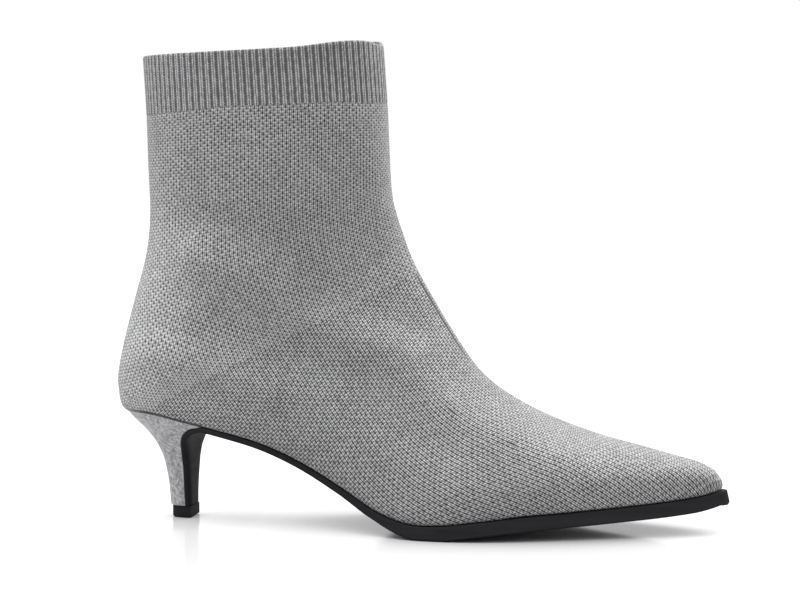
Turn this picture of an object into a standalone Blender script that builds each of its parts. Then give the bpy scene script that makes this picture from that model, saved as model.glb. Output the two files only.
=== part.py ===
"""Stretch ankle boot for the right foot: knitted sock upper, pointed toe, low covered heel.

Lengths in the tables are millimetres. X runs from the heel to the toe, -Y is the outer side of the
foot and +Z is up. Tables count X from the back of the heel; the finished boot is moved so that its
origin is on the floor under the middle of its box.
"""

import math

import bmesh
import bpy
import numpy as np

MM = 0.001
GAP = 0.3                    # clearance between pieces that touch

# Knitted upper
WALL = 1.8                   # knit and its lining
HALF_COLUMNS = 24            # columns from the front ridge to the middle of the back or the bottom
FEATHER_COLUMN = 18          # column at the edge where the foot turns under
MARGIN_COLUMN = 21           # column at the inner edge of the lasting margin
MARGIN_SHARE = 0.62          # inner edge of the margin, as a share of the feather half-width
BACK_SPREAD = 9.0            # the columns of the bottom take up this much on the round back of the heel
BOTTOM_WALL_FACTOR = 1.4     # slanted sections need a longer inset to keep the wall under the foot
RIBS = 96                    # vertical ribs of the cuff
RIB_DEPTH = 0.8
CUFF_SEAM = 1.2              # height over which the ribs run out into the plain knit
RIM_ROUNDING = 0.6           # inset and drop of the rounded collar edge
RIM_LIFT = 1.8               # the collar stands a little higher beside the shin
RIM_LIFT_X = 110.0
RIM_LIFT_SPREAD = 14.0
TOE_STIFFENER = 6.5          # the wall is thicker at the point of the toe
TOE_ROUNDING = 0.3

# Last sections from collar to toe. Each section lies in the plane through its back (or bottom) point
# and its front (or instep) point.
#   swing, ridge  sideways place of the bottom and of the instep ridge
#   side, widest  largest half-width and its place, as a share of the way from back to front
#   feather       half-width of the flat bottom
#   foot          0 where the columns are even all round, 1 where they gather on the flat bottom
#   crown, under  exponents of the arc over the instep and of the arc below the widest place
#   steps         loft steps to the next section
LAST_COLUMNS = ("back_x", "back_z", "front_x", "front_z", "swing", "ridge",
                "side", "widest", "feather", "foot", "crown", "under", "steps")
LAST = {
    "collar":      (14.7, 200.5, 119.2, 205.5, 0.0, 0.0, 36.0, 0.47, 0.0, 0.0, 2.10, 2.20, 1),
    "cuff_edge":   (16.2, 175.4, 121.0, 179.6, 0.0, 0.0, 36.6, 0.47, 0.0, 0.0, 2.10, 2.20, 1),
    "shaft":       (16.8, 155.0, 121.8, 162.5, 0.0, 0.0, 36.2, 0.46, 0.0, 0.0, 2.10, 2.20, 2),
    "ankle_top":   (17.4, 134.0, 122.6, 149.0, 0.0, 0.0, 35.2, 0.45, 0.0, 0.0, 2.00, 2.20, 2),
    "ankle":       (15.6, 116.0, 123.3, 141.5, 0.0, 0.2, 34.0, 0.43, 0.0, 0.25, 2.00, 2.20, 2),
    "heel_top":    (10.4, 97.0, 124.8, 135.5, 0.0, 0.4, 32.8, 0.40, 0.0, 0.55, 1.95, 2.20, 2),
    "heel_mid":    (5.2, 78.5, 126.6, 129.5, 0.0, 0.6, 32.2, 0.36, 0.0, 0.85, 1.90, 2.10, 2),
    "heel_back":   (1.8, 63.0, 128.6, 124.2, 0.0, 0.8, 31.6, 0.32, 0.0, 1.0, 1.90, 2.00, 1),
    "heel_low":    (2.2, 55.4, 129.8, 120.8, 0.0, 0.9, 31.2, 0.30, 2.0, 1.0, 1.88, 1.90, 2),
    "heel_corner": (5.0, 49.9, 131.2, 117.0, 0.0, 1.0, 30.9, 0.28, 8.5, 1.0, 1.85, 1.80, 2),
    "seat_back":   (11.0, 47.5, 133.4, 112.2, 0.0, 1.2, 30.6, 0.27, 16.6, 1.0, 1.85, 1.80, 2),
    "seat":        (22.0, 47.0, 137.0, 105.2, 0.0, 1.5, 30.6, 0.25, 24.0, 1.0, 1.80, 1.90, 2),
    "seat_front":  (38.0, 44.6, 142.6, 95.6, -0.2, 1.8, 30.8, 0.25, 26.2, 1.0, 1.80, 2.00, 2),
    "breast":      (54.0, 41.2, 148.0, 86.6, -0.7, 2.0, 30.6, 0.26, 25.4, 1.0, 1.80, 2.00, 2),
    "waist":       (72.0, 36.2, 153.6, 77.6, -1.6, 2.2, 30.4, 0.27, 23.2, 1.0, 1.80, 2.00, 2),
    "arch":        (90.0, 28.8, 160.2, 68.4, -2.6, 2.2, 31.0, 0.28, 23.2, 1.0, 1.80, 2.00, 2),
    "shank":       (108.0, 19.4, 167.8, 61.2, -2.6, 2.2, 33.2, 0.29, 27.0, 1.0, 1.85, 2.00, 2),
    "joint_back":  (124.0, 10.6, 176.0, 55.8, -2.2, 2.2, 36.8, 0.29, 32.2, 1.0, 1.85, 2.00, 2),
    "ball":        (138.0, 6.4, 184.6, 51.0, -1.8, 2.2, 40.0, 0.29, 36.4, 1.0, 1.90, 2.00, 2),
    "joint":       (152.0, 6.2, 194.0, 46.8, -0.9, 2.3, 41.2, 0.29, 38.5, 1.0, 1.90, 2.00, 2),
    "joint_front": (168.0, 8.0, 204.6, 42.7, 0.4, 2.5, 40.0, 0.30, 38.5, 1.0, 1.95, 2.00, 2),
    "vamp":        (186.0, 10.1, 217.0, 39.0, 1.8, 2.8, 36.6, 0.31, 35.2, 1.0, 2.00, 2.00, 2),
    "toe_box":     (206.0, 11.7, 230.6, 35.8, 2.7, 3.1, 30.0, 0.32, 28.6, 1.0, 2.05, 2.00, 2),
    "toe_taper":   (226.0, 13.2, 243.4, 32.6, 3.2, 3.3, 21.9, 0.34, 20.6, 1.0, 2.10, 2.00, 2),
    "toe_wing":    (243.0, 14.7, 254.0, 30.1, 3.5, 3.5, 14.4, 0.36, 13.3, 1.0, 2.15, 2.00, 2),
    "toe_round":   (255.0, 16.2, 261.0, 27.0, 3.6, 3.6, 8.2, 0.38, 7.4, 1.0, 2.20, 2.00, 2),
    "toe_tip":     (262.0, 17.6, 264.4, 23.2, 3.6, 3.6, 3.6, 0.42, 3.0, 1.0, 2.20, 2.00, 1),
    "toe_end":     (264.8, 18.6, 265.3, 20.6, 3.6, 3.6, 0.9, 0.45, 0.7, 1.0, 2.00, 2.00, 0),
}
OPEN_FROM, OPEN_TO = "seat_back", "toe_wing"     # the upper is open underneath between these

# Outsole: how far it stands out of the feather edge, its thickness and the flare of its side
SOLE_COLUMNS = ("x", "proud", "thickness", "flare")
SOLE = (
    (46.0, 0.7, 2.3, 0.0),
    (72.0, 0.8, 2.6, 0.0),
    (108.0, 1.0, 3.0, 0.1),
    (124.0, 1.3, 3.6, 0.3),
    (138.0, 1.9, 5.4, 0.7),
    (152.0, 2.1, 5.9, 0.9),
    (226.0, 1.9, 5.9, 0.9),
    (255.0, 2.0, 6.1, 1.0),
    (266.0, 2.4, 5.5, 1.2),
)
SOLE_EDGE = 0.7              # bevel along the lower edge
TOE_NORMAL = (0.94, 0.34)    # way in which the sole's edge stands out at the point of the toe
FLOOR_FLAT = (141.0, 157.0)  # stretch of the forefoot that stands on the floor
BREAST_FLAP = 2.2            # the sole turns down over the front of the heel this thick
FLAP_CORNER = 1.3            # rounding of the flap's side corners

# Heel block from the seat down, cut in planes from its back to its breast
HEEL_COLUMNS = ("back_x", "back_z", "front_x", "front_z", "half", "roundness")
HEEL = (
    (7.6, 46.9, 45.5, 42.6, 26.4, 2.8),
    (10.3, 43.8, 40.6, 40.2, 23.4, 2.7),
    (13.5, 40.6, 37.0, 37.2, 19.8, 2.6),
    (16.3, 37.0, 34.8, 33.9, 16.4, 2.5),
    (19.0, 32.8, 33.6, 30.2, 13.2, 2.5),
    (21.4, 27.4, 33.0, 25.6, 10.9, 2.4),
    (22.9, 21.6, 32.7, 20.6, 9.4, 2.4),
    (23.8, 15.8, 32.6, 15.2, 8.4, 2.3),
    (24.3, 10.4, 32.6, 10.2, 7.7, 2.3),
    (24.7, 5.3, 32.7, 5.3, 7.2, 2.3),
)
HEEL_ARC_STEPS = 12
SEAT_TOP = 47.2              # the heel stops at this height behind the rounded seat

LIFT = {"back_x": 25.5, "front_x": 35.2, "half": 6.6, "roundness": 2.6, "height": 5.0, "bevel": 0.5}
INSOLE = {"thickness": 2.0, "clear": 1.0, "heel_round": 5.0, "heel_run": 7.0,
          "from": "seat_back", "to": "toe_wing"}


def last_row(u):
    """Last section at the place u along the rows, smooth through them all (Catmull-Rom)."""
    rows = np.array(list(LAST.values()), float)
    i = min(int(u), len(rows) - 2)
    t = u - i
    before = rows[max(i - 1, 0)]
    start, end = rows[i], rows[i + 1]
    after = rows[min(i + 2, len(rows) - 1)]
    blended = 0.5 * (2 * start + (end - before) * t
                     + (2 * before - 5 * start + 4 * end - after) * t ** 2
                     + (3 * start - before - 3 * end + after) * t ** 3)
    row = dict(zip(LAST_COLUMNS, blended))
    row["foot"] = min(max(row["foot"], 0.0), 1.0)
    row["feather"] = max(row["feather"], 0.0)
    return row


def place_of(name):
    return list(LAST).index(name)


def loft_places():
    """Places along the rows where the loft has a section."""
    places = []
    for i, row in enumerate(LAST.values()):
        steps = row[LAST_COLUMNS.index("steps")]
        places += [i + k / steps for k in range(steps)]
    return places + [len(LAST) - 1]


def inset_row(row, wall):
    """The same section moved inwards by the wall, towards the middle of its plane."""
    row = dict(row)
    span = np.array([row["front_x"] - row["back_x"], row["front_z"] - row["back_z"]])
    step = span / np.linalg.norm(span) * wall
    bottom = 1 + (BOTTOM_WALL_FACTOR - 1) * row["foot"]
    row["back_x"] += step[0] * bottom
    row["back_z"] += step[1] * bottom
    row["front_x"] -= step[0]
    row["front_z"] -= step[1]
    row["side"] -= wall
    row["feather"] = max(row["feather"] - wall, 0.0)
    return row


def half_section(row, columns):
    """(way from back to front in mm, half-width in mm) of one half of a section at the given columns."""
    height = math.hypot(row["front_x"] - row["back_x"], row["front_z"] - row["back_z"])
    low = row["widest"] * height
    turn = np.linspace(0, math.pi / 2, 60)
    over = np.column_stack([low + (height - low) * np.cos(turn) ** (2 / row["crown"]),
                            row["side"] * np.sin(turn) ** (2 / row["crown"])])
    bulge = row["side"] - row["feather"]
    below = np.column_stack([low * (1 - np.sin(turn) ** (2 / row["under"])),
                             row["feather"] + bulge * np.cos(turn) ** (2 / row["under"])])
    curve = np.vstack([over, below[1:], [(0.0, 0.0)]])
    lengths = np.concatenate([[0], np.cumsum(np.linalg.norm(np.diff(curve, axis=0), axis=1))])
    whole = lengths[-1]
    flat = max(whole - lengths[-2], min(BACK_SPREAD, 0.06 * whole))
    standing = np.interp(columns, [0, FEATHER_COLUMN, MARGIN_COLUMN, HALF_COLUMNS],
                         [0, whole - flat, whole - flat * MARGIN_SHARE, whole])
    closed = np.asarray(columns) / HALF_COLUMNS * whole
    target = closed * (1 - row["foot"]) + standing * row["foot"]
    return np.column_stack([np.interp(target, lengths, curve[:, i]) for i in (0, 1)])


def ring(row, per_column=1):
    """Points around a section: down the outer side from the ridge, then up the inner side."""
    columns = np.arange(0, HALF_COLUMNS + 1e-9, 1 / per_column)
    half = half_section(row, columns)
    outer = [(way, -width) for way, width in half]
    inner = [(way, width) for way, width in half[-2:0:-1]]
    span = np.array([row["front_x"] - row["back_x"], row["front_z"] - row["back_z"]])
    height = np.linalg.norm(span)
    points = []
    for way, y in outer + inner:
        share = way / height
        x, z = np.array([row["back_x"], row["back_z"]]) + span * share
        points.append((x, y + row["swing"] * (1 - share) + row["ridge"] * share, z))
    return np.array(points)


def outward(points, distance):
    """A ring in a level plane moved out along its own normals."""
    tangent = np.roll(points, -1, axis=0) - np.roll(points, 1, axis=0)
    normal = np.column_stack([tangent[:, 1], -tangent[:, 0], np.zeros(len(points))])
    normal /= np.linalg.norm(normal, axis=1)[:, None]
    centre = points.mean(axis=0)
    if np.sum(normal * (points - centre)) < 0:
        normal = -normal
    return points + normal * np.asarray(distance)[:, None]


def collar_lift(points):
    bump = RIM_LIFT * np.exp(-(((points[:, 0] - RIM_LIFT_X) / RIM_LIFT_SPREAD) ** 2))
    return points + np.column_stack([np.zeros(len(points)), np.zeros(len(points)), bump])


def add_loop(work, points):
    """A closed ring of points and the edges that join them."""
    verts = [work.verts.new(point) for point in points]
    return verts, [work.edges.new((verts[i - 1], verts[i])) for i in range(len(verts))]


def skin(work, loops):
    """Walls from each loop to the next."""
    for (_, low), (_, high) in zip(loops, loops[1:]):
        bmesh.ops.bridge_loops(work, edges=low + high)


def close_end(work, loop, rise=0.0):
    """A face across a loop, drawn out along X to a point in its middle."""
    face = work.faces.new(loop[0])
    poked = bmesh.ops.poke(work, faces=[face])
    poked["verts"][0].co.x += rise


def is_open(place):
    return place_of(OPEN_FROM) <= place <= place_of(OPEN_TO)


def inside_places(places):
    """Places of the inner sections: past the opening they stop short of the point by the toe stiffener."""
    first, end = place_of(OPEN_TO), len(LAST) - 1
    tip = last_row(end)["back_x"] - TOE_STIFFENER
    stop = next(p for p in np.arange(first, end, 0.01) if last_row(p)["back_x"] > tip)
    return [p if p <= first else first + (p - first) * (stop - first) / (end - first) for p in places]


def upper():
    """Hollow sock: ribbed cuff, shaft and foot in one knit wall, open at the collar and underneath."""
    work = bmesh.new()
    cuff = place_of("cuff_edge")
    places = [p for p in loft_places() if p >= cuff]
    rib_steps = RIBS // HALF_COLUMNS
    grooves = -RIB_DEPTH * (np.arange(2 * RIBS) % 2)
    seam = CUFF_SEAM / (LAST["collar"][1] - LAST["cuff_edge"][1])
    collar = collar_lift(ring(last_row(0), rib_steps))

    inside = [add_loop(work, ring(inset_row(last_row(p), WALL))) for p in inside_places(places)]
    inner_rim = add_loop(work, collar_lift(ring(inset_row(last_row(0), WALL))))
    outer_rim = add_loop(work, outward(collar, np.full(2 * RIBS, -RIM_ROUNDING)))
    rib_top = add_loop(work, outward(collar, grooves) - (0, 0, RIM_ROUNDING))
    rib_low = add_loop(work, outward(ring(last_row(cuff - seam), rib_steps), grooves))
    outside = [add_loop(work, ring(last_row(p))) for p in places]
    skin(work, inside[::-1] + [inner_rim, outer_rim, rib_top, rib_low] + outside)
    close_end(work, outside[-1], TOE_ROUNDING)
    close_end(work, inside[-1])

    columns = range(MARGIN_COLUMN, 2 * HALF_COLUMNS - MARGIN_COLUMN + 1)
    for wall in (outside, inside):
        floor = {loop[0][c] for loop, p in zip(wall, places) if is_open(p) for c in columns}
        opened = [face for face in work.faces if floor.issuperset(face.verts)]
        bmesh.ops.delete(work, geom=opened, context="FACES")
    bmesh.ops.bridge_loops(work, edges=[edge for edge in work.edges if edge.is_boundary])
    return work


def foot_bottom(inset=0.0):
    """Rows along the flat of the foot, from the heel to the toe: x, z, sideways place and half-width."""
    rows = []
    for place in loft_places():
        if place < place_of("heel_corner"):
            continue
        row = last_row(place)
        row = inset_row(row, inset) if inset else row
        rows.append((row["back_x"], row["back_z"], row["swing"], row["feather"]))
    return np.array(rows)


def sole_size(x):
    table = np.array(SOLE)
    return {name: np.interp(x, table[:, 0], table[:, i]) for i, name in enumerate(SOLE_COLUMNS)}


def offset_outline(rows, proud, side):
    """Outline of one side of the foot moved out along its normal. Side is -1 outer, +1 inner."""
    line = np.column_stack([rows[:, 0], rows[:, 2] + side * rows[:, 3]])
    tangent = np.gradient(line, axis=0)
    normal = np.column_stack([-tangent[:, 1], tangent[:, 0]]) * side
    normal[-1] = TOE_NORMAL[0], side * TOE_NORMAL[1]
    normal /= np.linalg.norm(normal, axis=1)[:, None]
    return line + normal * proud[:, None]


def heel_front():
    """Breast line of the heel block from the lift up to the seat: points (x, z) and half-widths."""
    table = np.array(HEEL)[::-1]
    return table[:, 2:4], table[:, 4]


def offset_line(line, distance):
    """A line in the XZ plane moved forwards along its normal."""
    tangent = np.gradient(line, axis=0)
    normal = np.column_stack([tangent[:, 1], -tangent[:, 0]])
    normal /= np.linalg.norm(normal, axis=1)[:, None]
    return line + normal * distance


def outsole():
    """Sole from the toe back along the arch, turned down over the breast of the heel to the lift."""
    work = bmesh.new()
    rows = foot_bottom()
    seat = lambda x: np.interp(x, rows[:, 0], rows[:, 1])
    front = rows[rows[:, 0] > HEEL[0][2] + GAP]
    size = sole_size(front[:, 0])
    sections = []

    breast, halves = heel_front()
    back_line = offset_line(breast, GAP)
    face_line = offset_line(breast, GAP + BREAST_FLAP)
    for (bx, bz), (fx, fz), half in zip(back_line[:-1], face_line[:-1], halves[:-1]):
        fz = max(fz, HEEL[-1][1])
        mid = (0.45 * bx + 0.55 * fx, 0.45 * bz + 0.55 * fz)
        sections.append([(bx, -half, bz), (bx, half, bz), (mid[0], half, mid[1]),
                         (fx, half - FLAP_CORNER, fz), (fx, FLAP_CORNER - half, fz), (mid[0], -half, mid[1])])

    sides = {side: offset_outline(front, size["proud"], side) for side in (-1, 1)}
    lower = {side: offset_outline(front, size["proud"] + size["flare"], side) for side in (-1, 1)}
    inner = size["proud"] + size["flare"] - SOLE_EDGE
    bottom = {side: offset_outline(front, inner, side) for side in (-1, 1)}
    slope = np.gradient(front[:, 1], front[:, 0])
    drop = size["thickness"] * np.sqrt(1 + slope ** 2)

    def under(x, k):
        level = max(seat(x) - GAP - drop[k], 0.0)
        return 0.0 if FLOOR_FLAT[0] <= x <= FLOOR_FLAT[1] else level

    for k in range(len(front)):
        def at(edge, side, lift=None):
            x, y = edge[side][k]
            return (x, y, seat(x) - GAP if lift is None else under(x, k) + lift)
        sections.append([at(sides, -1), at(sides, 1), at(lower, 1, SOLE_EDGE), at(bottom, 1, 0.0),
                         at(bottom, -1, 0.0), at(lower, -1, SOLE_EDGE)])

    loops = [add_loop(work, section) for section in sections]
    skin(work, loops)
    for end in (loops[0], loops[-1]):
        work.faces.new(end[0])
    return work


def heel_ring(row):
    """Rounded back and straight breast of the heel at one cut, from the outer to the inner side."""
    back_x, back_z, front_x, front_z, half, roundness = row
    turn = np.linspace(0, math.pi / 2, HEEL_ARC_STEPS + 1)
    share = np.sin(turn) ** (2 / roundness)
    width = half * np.cos(turn) ** (2 / roundness)
    outer = [(front_x + (back_x - front_x) * s, -w, front_z + (back_z - front_z) * s)
             for s, w in zip(share, width)]
    inner = [(x, -y, z) for x, y, z in outer[-2::-1]]
    return np.array(outer + inner)


def close_across(work, loop):
    """Fills a loop that is the same on both sides with strips across it."""
    verts = loop[0]
    half = len(verts) // 2
    for k in range(half - 1):
        work.faces.new((verts[k], verts[k + 1], verts[-2 - k], verts[-1 - k]))
    work.faces.new((verts[half - 1], verts[half], verts[half + 1]))


def heel():
    """Covered heel block: its top follows the seat of the foot, its foot carries the lift."""
    work = bmesh.new()
    rows = foot_bottom()
    rings = [heel_ring(row) for row in HEEL]
    rings[0][:, 2] = np.minimum(np.interp(rings[0][:, 0], rows[:, 0], rows[:, 1]), SEAT_TOP) - GAP
    loops = [add_loop(work, points) for points in rings]
    skin(work, loops)
    close_across(work, loops[0])
    close_across(work, loops[-1])
    return work


def top_lift():
    """Rubber tip that the heel stands on."""
    work = bmesh.new()
    size = LIFT
    levels = ((0.0, size["bevel"]), (size["bevel"], 0.0), (size["height"], 0.0))
    loops = []
    for z, inset in levels:
        row = (size["back_x"] + inset, z, size["front_x"] - inset, z, size["half"] - inset, size["roundness"])
        loops.append(add_loop(work, heel_ring(row)))
    skin(work, loops)
    close_across(work, loops[0])
    close_across(work, loops[-1])
    return work


def insole():
    """Footbed that lies on the lasting margin inside the upper."""
    work = bmesh.new()
    first, final = place_of(INSOLE["from"]), place_of(INSOLE["to"])
    start_x = last_row(first)["back_x"]
    sections = []
    for place in loft_places():
        if not first <= place <= final:
            continue
        row = inset_row(last_row(place), WALL)
        x, z, y = row["back_x"], row["back_z"] + GAP, row["swing"]
        rounding = INSOLE["heel_round"] * math.exp(-(x - start_x) / INSOLE["heel_run"])
        half = row["feather"] - INSOLE["clear"] - rounding
        top = z + INSOLE["thickness"]
        sections.append([(x, y - half, z), (x, y + half, z), (x, y + half, top), (x, y - half, top)])
    loops = [add_loop(work, section) for section in sections]
    skin(work, loops)
    for end in (loops[0], loops[-1]):
        work.faces.new(end[0])
    return work


# name: (maker, colour, roughness)
PIECES = {
    "upper": (upper, (0.23, 0.23, 0.235), 0.85),
    "insole": (insole, (0.05, 0.05, 0.052), 0.70),
    "outsole": (outsole, (0.012, 0.012, 0.013), 0.45),
    "heel": (heel, (0.27, 0.265, 0.265), 0.90),
    "top_lift": (top_lift, (0.01, 0.01, 0.01), 0.55),
}
SMOOTH_ANGLE = math.radians(30)


def finish(name, work, origin, colour, roughness, boot):
    """Makes the object of one piece, in metres and with its faces pointing out."""
    bmesh.ops.translate(work, verts=work.verts, vec=[-value for value in origin])
    bmesh.ops.scale(work, verts=work.verts, vec=(MM, MM, MM))
    bmesh.ops.recalc_face_normals(work, faces=work.faces)
    mesh = bpy.data.meshes.new(name)
    work.to_mesh(mesh)
    work.free()
    mesh.shade_smooth()
    mesh.set_sharp_from_angle(angle=SMOOTH_ANGLE)
    material = bpy.data.materials.new(name)
    material.use_nodes = True
    surface = material.node_tree.nodes["Principled BSDF"]
    surface.inputs["Base Color"].default_value = (*colour, 1.0)
    surface.inputs["Roughness"].default_value = roughness
    surface.inputs["Metallic"].default_value = 0.0
    mesh.materials.append(material)
    piece = bpy.data.objects.new(name, mesh)
    piece.parent = boot
    bpy.context.scene.collection.objects.link(piece)


def main():
    for old in list(bpy.data.objects):
        bpy.data.objects.remove(old, do_unlink=True)
    boot = bpy.data.objects.new("boot", None)
    bpy.context.scene.collection.objects.link(boot)
    works = {name: maker() for name, (maker, _, _) in PIECES.items()}
    points = np.array([vert.co for work in works.values() for vert in work.verts])
    low, high = points.min(axis=0), points.max(axis=0)
    origin = ((low[0] + high[0]) / 2, (low[1] + high[1]) / 2, low[2])
    for name, (_, colour, roughness) in PIECES.items():
        finish(name, works[name], origin, colour, roughness, boot)


main()
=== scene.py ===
import math

import bmesh
import bpy
import numpy as np
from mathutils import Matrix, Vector


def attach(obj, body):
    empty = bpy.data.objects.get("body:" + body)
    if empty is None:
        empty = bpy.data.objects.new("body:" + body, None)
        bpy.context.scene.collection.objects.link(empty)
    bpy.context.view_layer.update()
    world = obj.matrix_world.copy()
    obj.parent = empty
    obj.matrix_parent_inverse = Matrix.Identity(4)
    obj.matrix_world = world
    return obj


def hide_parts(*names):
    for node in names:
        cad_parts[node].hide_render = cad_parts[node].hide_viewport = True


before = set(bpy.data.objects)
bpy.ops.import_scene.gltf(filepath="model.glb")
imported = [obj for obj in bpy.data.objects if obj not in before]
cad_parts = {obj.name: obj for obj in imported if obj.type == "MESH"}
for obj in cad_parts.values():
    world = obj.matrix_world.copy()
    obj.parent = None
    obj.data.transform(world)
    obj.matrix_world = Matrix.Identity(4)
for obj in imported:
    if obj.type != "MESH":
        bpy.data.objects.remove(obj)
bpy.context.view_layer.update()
print("frame loaded:", ", ".join(sorted(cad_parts)))

# Tables are in millimetres, as in the part's source: X from the back of the heel, outer side to -Y
mm = 0.001
bootOrigin = np.array([134.9619, -0.2717, 0.0])     # where the frame's origin lies in the tables
gap = 0.3                                           # between neighbouring pieces

lastColumns = ("backX", "backZ", "frontX", "frontZ", "swing", "ridge",
               "side", "widest", "feather", "foot", "crown", "under")
lastRows = {
    "collar":     (14.7, 200.5, 119.2, 205.5, 0.0, 0.0, 36.0, 0.47, 0.0, 0.0, 2.10, 2.20),
    "cuffEdge":   (16.2, 175.4, 121.0, 179.6, 0.0, 0.0, 36.6, 0.47, 0.0, 0.0, 2.10, 2.20),
    "shaft":      (16.8, 155.0, 121.8, 162.5, 0.0, 0.0, 36.2, 0.46, 0.0, 0.0, 2.10, 2.20),
    "ankleTop":   (17.4, 134.0, 122.6, 149.0, 0.0, 0.0, 35.2, 0.45, 0.0, 0.0, 2.00, 2.20),
    "ankle":      (15.6, 116.0, 123.3, 141.5, 0.0, 0.2, 34.0, 0.43, 0.0, 0.25, 2.00, 2.20),
    "heelTop":    (10.4, 97.0, 124.8, 135.5, 0.0, 0.4, 32.8, 0.40, 0.0, 0.55, 1.95, 2.20),
    "heelMid":    (5.2, 78.5, 126.6, 129.5, 0.0, 0.6, 32.2, 0.36, 0.0, 0.85, 1.90, 2.10),
    "heelBack":   (1.8, 63.0, 128.6, 124.2, 0.0, 0.8, 31.6, 0.32, 0.0, 1.0, 1.90, 2.00),
    "heelLow":    (2.2, 55.4, 129.8, 120.8, 0.0, 0.9, 31.2, 0.30, 2.0, 1.0, 1.88, 1.90),
    "heelCorner": (5.0, 49.9, 131.2, 117.0, 0.0, 1.0, 30.9, 0.28, 8.5, 1.0, 1.85, 1.80),
    "seatBack":   (11.0, 47.5, 133.4, 112.2, 0.0, 1.2, 30.6, 0.27, 16.6, 1.0, 1.85, 1.80),
    "seat":       (22.0, 47.0, 137.0, 105.2, 0.0, 1.5, 30.6, 0.25, 24.0, 1.0, 1.80, 1.90),
    "seatFront":  (38.0, 44.6, 142.6, 95.6, -0.2, 1.8, 30.8, 0.25, 26.2, 1.0, 1.80, 2.00),
    "breast":     (54.0, 41.2, 148.0, 86.6, -0.7, 2.0, 30.6, 0.26, 25.4, 1.0, 1.80, 2.00),
    "waist":      (72.0, 36.2, 153.6, 77.6, -1.6, 2.2, 30.4, 0.27, 23.2, 1.0, 1.80, 2.00),
    "arch":       (90.0, 28.8, 160.2, 68.4, -2.6, 2.2, 31.0, 0.28, 23.2, 1.0, 1.80, 2.00),
    "shank":      (108.0, 19.4, 167.8, 61.2, -2.6, 2.2, 33.2, 0.29, 27.0, 1.0, 1.85, 2.00),
    "jointBack":  (124.0, 10.6, 176.0, 55.8, -2.2, 2.2, 36.8, 0.29, 32.2, 1.0, 1.85, 2.00),
    "ball":       (138.0, 6.4, 184.6, 51.0, -1.8, 2.2, 40.0, 0.29, 36.4, 1.0, 1.90, 2.00),
    "joint":      (152.0, 6.2, 194.0, 46.8, -0.9, 2.3, 41.2, 0.29, 38.5, 1.0, 1.90, 2.00),
    "jointFront": (168.0, 8.0, 204.6, 42.7, 0.4, 2.5, 40.0, 0.30, 38.5, 1.0, 1.95, 2.00),
    "vamp":       (186.0, 10.1, 217.0, 39.0, 1.8, 2.8, 36.6, 0.31, 35.2, 1.0, 2.00, 2.00),
    "toeBox":     (206.0, 11.7, 230.6, 35.8, 2.7, 3.1, 30.0, 0.32, 28.6, 1.0, 2.05, 2.00),
    "toeTaper":   (226.0, 13.2, 243.4, 32.6, 3.2, 3.3, 21.9, 0.34, 20.6, 1.0, 2.10, 2.00),
    "toeWing":    (243.0, 14.7, 254.0, 30.1, 3.5, 3.5, 14.4, 0.36, 13.3, 1.0, 2.15, 2.00),
    "toeRound":   (255.0, 16.2, 261.0, 27.0, 3.6, 3.6, 8.2, 0.38, 7.4, 1.0, 2.20, 2.00),
    "toeTip":     (262.0, 17.6, 264.4, 23.2, 3.6, 3.6, 3.6, 0.42, 3.0, 1.0, 2.20, 2.00),
    "toeEnd":     (264.8, 18.6, 265.3, 20.6, 3.6, 3.6, 0.9, 0.45, 0.7, 1.0, 2.00, 2.00),
}
halfColumns = 24         # columns of the source from the ridge to the middle of the back or bottom
featherColumn = 18       # the foot's edge, where its bottom begins
marginColumn = 21        # inner edge of the lasting margin
marginShare = 0.62       # of the half bottom that the margin leaves open
backSpread = 9.0         # where the back is round, the columns of the bottom take this much of it,
backShare = 0.06         # or this share of the whole if that is less
bottomWallFactor = 1.4
turnSteps = 60           # points on a quarter of a section


def smoothRow(rows, place):
    # a row between two of a table, on a smooth curve through all of them
    i = min(int(place), len(rows) - 2)
    t = place - i
    before, start, end = rows[max(i - 1, 0)], rows[i], rows[i + 1]
    after = rows[min(i + 2, len(rows) - 1)]
    return 0.5 * (2 * start + (end - before) * t
                  + (2 * before - 5 * start + 4 * end - after) * t ** 2
                  + (3 * start - before - 3 * end + after) * t ** 3)


def lastRow(place):
    row = dict(zip(lastColumns, smoothRow(np.array(list(lastRows.values()), float), place)))
    row["foot"] = min(max(row["foot"], 0.0), 1.0)
    row["feather"] = max(row["feather"], 0.0)
    return row


def rowPlace(name):
    return list(lastRows).index(name)


def insetRow(row, wall):
    row = dict(row)
    span = np.array([row["frontX"] - row["backX"], row["frontZ"] - row["backZ"]])
    step = span / np.linalg.norm(span) * wall
    bottom = 1 + (bottomWallFactor - 1) * row["foot"]
    row["backX"] += step[0] * bottom
    row["backZ"] += step[1] * bottom
    row["frontX"] -= step[0]
    row["frontZ"] -= step[1]
    row["side"] -= wall
    row["feather"] = max(row["feather"] - wall, 0.0)
    return row


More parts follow.
